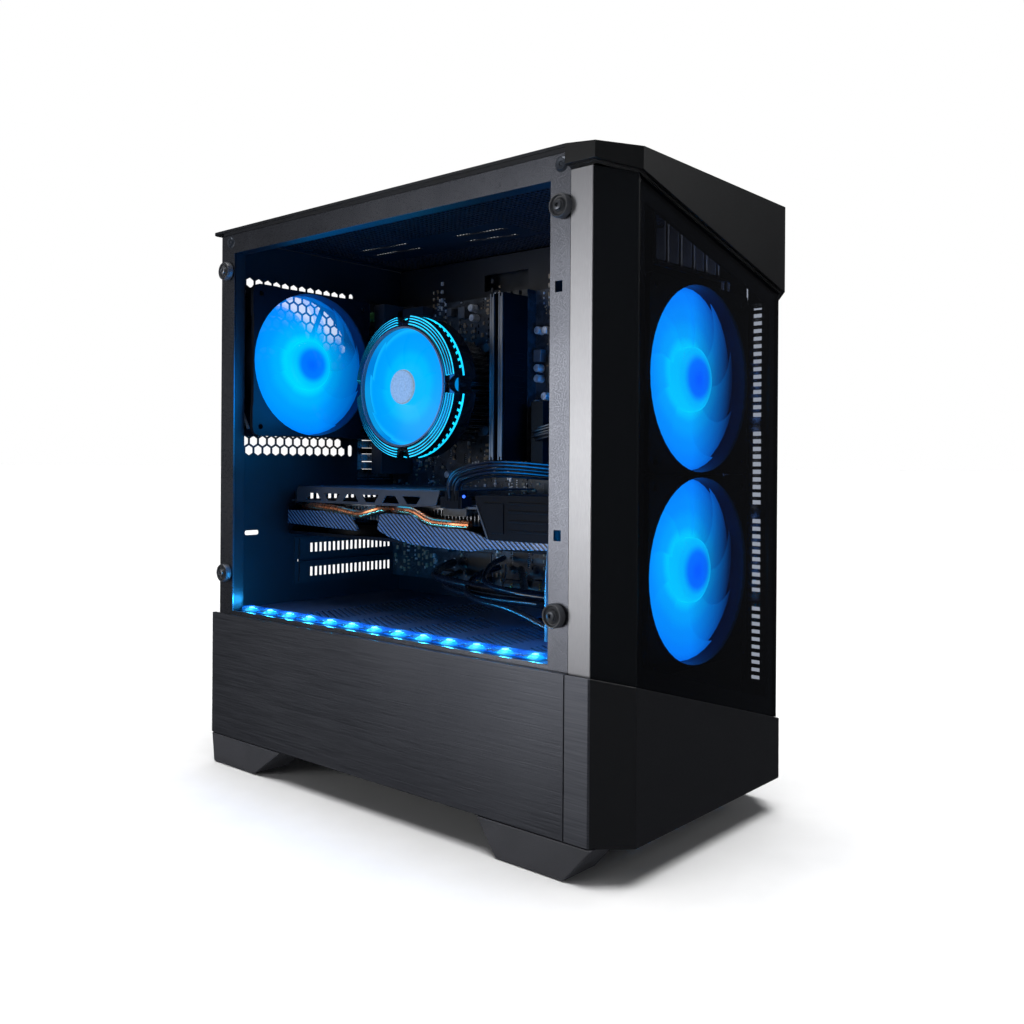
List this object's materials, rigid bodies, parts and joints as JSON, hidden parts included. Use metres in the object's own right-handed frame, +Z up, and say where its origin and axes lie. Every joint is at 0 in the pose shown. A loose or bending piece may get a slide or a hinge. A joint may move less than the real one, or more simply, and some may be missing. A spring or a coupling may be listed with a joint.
{
  "type": "desktop computer tower",
  "caption": "Compact desktop computer tower with an open window side, slanted two-part front bezel, dark front glass, round lit fans, graphics card and a plinth cover on slanted feet.",
  "frame": {"origin": "centre of the footprint box on the surface that the feet stand on", "axes": "+Z up; the front bezel faces -Y and the rear panel +Y; the open window side faces -X"},
  "size_m": [0.2152, 0.4008, 0.4186],
  "materials": {
    "black_steel": "fine textured black powder coat",
    "grey_steel": "satin dark grey coat",
    "brushed_black": "brushed black",
    "bezel_silver": "glossy black plastic",
    "black_plastic": "satin black",
    "tinted_glass": "dark tinted, polished",
    "fan_blue": "frosted, lit blue",
    "rotor_black": "satin black",
    "rubber": "matte",
    "aluminium": "mill finish",
    "port_steel": "zinc plated",
    "copper": "bright copper",
    "laminate": "black solder mask",
    "card_metal": "dark anodised",
    "card_plastic": "woven-look dark plastic",
    "wire_sleeve": "braided sleeve",
    "light_strip": "clear silicone over a light strip"
  },
  "bodies": {
    "chassis": {"base_pan": "black_steel", "cooler_heatsink": "aluminium", "cooler_light_ring": "black_plastic", "front_left_foot": "black_plastic", "front_lower_fan_frame": "black_plastic", "front_right_foot": "black_plastic", "front_upper_fan_frame": "black_plastic", "front_wall": "black_steel", "glass_post_front_lower": "rubber", "glass_post_front_upper": "rubber", "glass_post_rear_lower": "rubber", "glass_post_rear_upper": "rubber", "gpu_backplate": "card_metal", "gpu_board": "laminate", "gpu_bracket": "port_steel", "gpu_heat_pipe": "copper", "gpu_heatsink": "aluminium", "gpu_power_cable": "wire_sleeve", "gpu_shroud": "card_plastic", "led_strip": "light_strip", "lower_side_cover": "brushed_black", "main_power_cable": "wire_sleeve", "memory_stick_1": "black_plastic", "memory_stick_2": "black_plastic", "motherboard": "laminate", "motherboard_tray": "black_steel", "processor": "port_steel", "psu_case": "black_steel", "psu_inlet": "black_plastic", "psu_shroud": "black_steel", "rear_fan_frame": "black_plastic", "rear_left_foot": "black_plastic", "rear_panel": "black_steel", "rear_ports": "port_steel", "rear_right_foot": "black_plastic", "side_frame": "grey_steel", "slot_cover_1": "black_steel", "slot_cover_2": "black_steel", "solid_state_drive": "card_metal", "top_panel": "black_steel"},
    "front_bezel": {"bezel_base": "black_plastic", "bezel_frame": "bezel_silver", "front_glass": "tinted_glass", "bezel_cap": "black_plastic", "front_ports": "port_steel"},
    "power_button": {"power_button": "black_plastic"},
    "reset_button": {"reset_button": "black_plastic"},
    "right_panel": {"right_side_panel": "black_steel"},
    "thumbscrew_upper": {"thumbscrew_upper": "black_steel"},
    "thumbscrew_lower": {"thumbscrew_lower": "black_steel"},
    "top_filter": {"top_dust_filter": "black_steel"},
    "psu_filter": {"psu_dust_filter": "black_plastic"},
    "front_upper_fan": {"front_upper_fan_rotor": "fan_blue"},
    "front_lower_fan": {"front_lower_fan_rotor": "fan_blue"},
    "rear_fan": {"rear_fan_rotor": "fan_blue"},
    "cooler_fan": {"cooler_rotor": "fan_blue"},
    "gpu_rear_fan": {"gpu_rear_rotor": "rotor_black"},
    "gpu_front_fan": {"gpu_front_rotor": "rotor_black"},
    "psu_fan": {"psu_rotor": "rotor_black"},
    "psu_switch": {"psu_switch": "black_plastic"}
  },
  "joints": [
    {"name": "front_upper_fan_spin", "type": "hinge", "parent": "chassis", "child": "front_upper_fan", "pos_m": [0, -0.1742, 0.2894], "axis": [0, 1, 0], "continuous": true},
    {"name": "front_lower_fan_spin", "type": "hinge", "parent": "chassis", "child": "front_lower_fan", "pos_m": [0, -0.1742, 0.1694], "axis": [0, 1, 0], "continuous": true},
    {"name": "rear_fan_spin", "type": "hinge", "parent": "chassis", "child": "rear_fan", "pos_m": [-0.0305, 0.1715, 0.3163], "axis": [0, 1, 0], "continuous": true},
    {"name": "cooler_fan_spin", "type": "hinge", "parent": "chassis", "child": "cooler_fan", "pos_m": [0.015, 0.088, 0.297], "axis": [1, 0, 0], "continuous": true},
    {"name": "gpu_rear_fan_spin", "type": "hinge", "parent": "chassis", "child": "gpu_rear_fan", "pos_m": [0.013, 0.118, 0.1802], "axis": [0, 0, 1], "continuous": true},
    {"name": "gpu_front_fan_spin", "type": "hinge", "parent": "chassis", "child": "gpu_front_fan", "pos_m": [0.013, 0.012, 0.1802], "axis": [0, 0, 1], "continuous": true},
    {"name": "psu_fan_spin", "type": "hinge", "parent": "chassis", "child": "psu_fan", "pos_m": [0.005, 0.112, 0.039], "axis": [0, 0, 1], "continuous": true},
    {"name": "psu_switch_rock", "type": "hinge", "parent": "chassis", "child": "psu_switch", "pos_m": [0.056, 0.184, 0.056], "axis": [1, 0, 0], "range_deg": [-16, 0]},
    {"name": "front_bezel_pull", "type": "slide", "parent": "chassis", "child": "front_bezel", "axis": [0, -1, 0], "range_m": [0, 0.04]},
    {"name": "power_button_press", "type": "slide", "parent": "front_bezel", "child": "power_button", "axis": [0, 0, -1], "range_m": [0, 0.0015], "stiffness_N_per_m": 400, "springref_m": -0.001},
    {"name": "reset_button_press", "type": "slide", "parent": "front_bezel", "child": "reset_button", "axis": [0, 0, -1], "range_m": [0, 0.0015], "stiffness_N_per_m": 400, "springref_m": -0.001},
    {"name": "right_panel_slide", "type": "slide", "parent": "chassis", "child": "right_panel", "axis": [0, 1, 0], "range_m": [0, 0.015]},
    {"name": "thumbscrew_upper_turn", "type": "hinge", "parent": "right_panel", "child": "thumbscrew_upper", "pos_m": [0.0945, 0.188, 0.392], "axis": [0, 1, 0], "continuous": true},
    {"name": "thumbscrew_lower_turn", "type": "hinge", "parent": "right_panel", "child": "thumbscrew_lower", "pos_m": [0.0945, 0.188, 0.072], "axis": [0, 1, 0], "continuous": true},
    {"name": "top_filter_lift", "type": "slide", "parent": "chassis", "child": "top_filter", "axis": [0, 0, 1], "range_m": [0, 0.06]},
    {"name": "psu_filter_slide", "type": "slide", "parent": "chassis", "child": "psu_filter", "axis": [0, 1, 0], "range_m": [0, 0.14]}
  ]
}
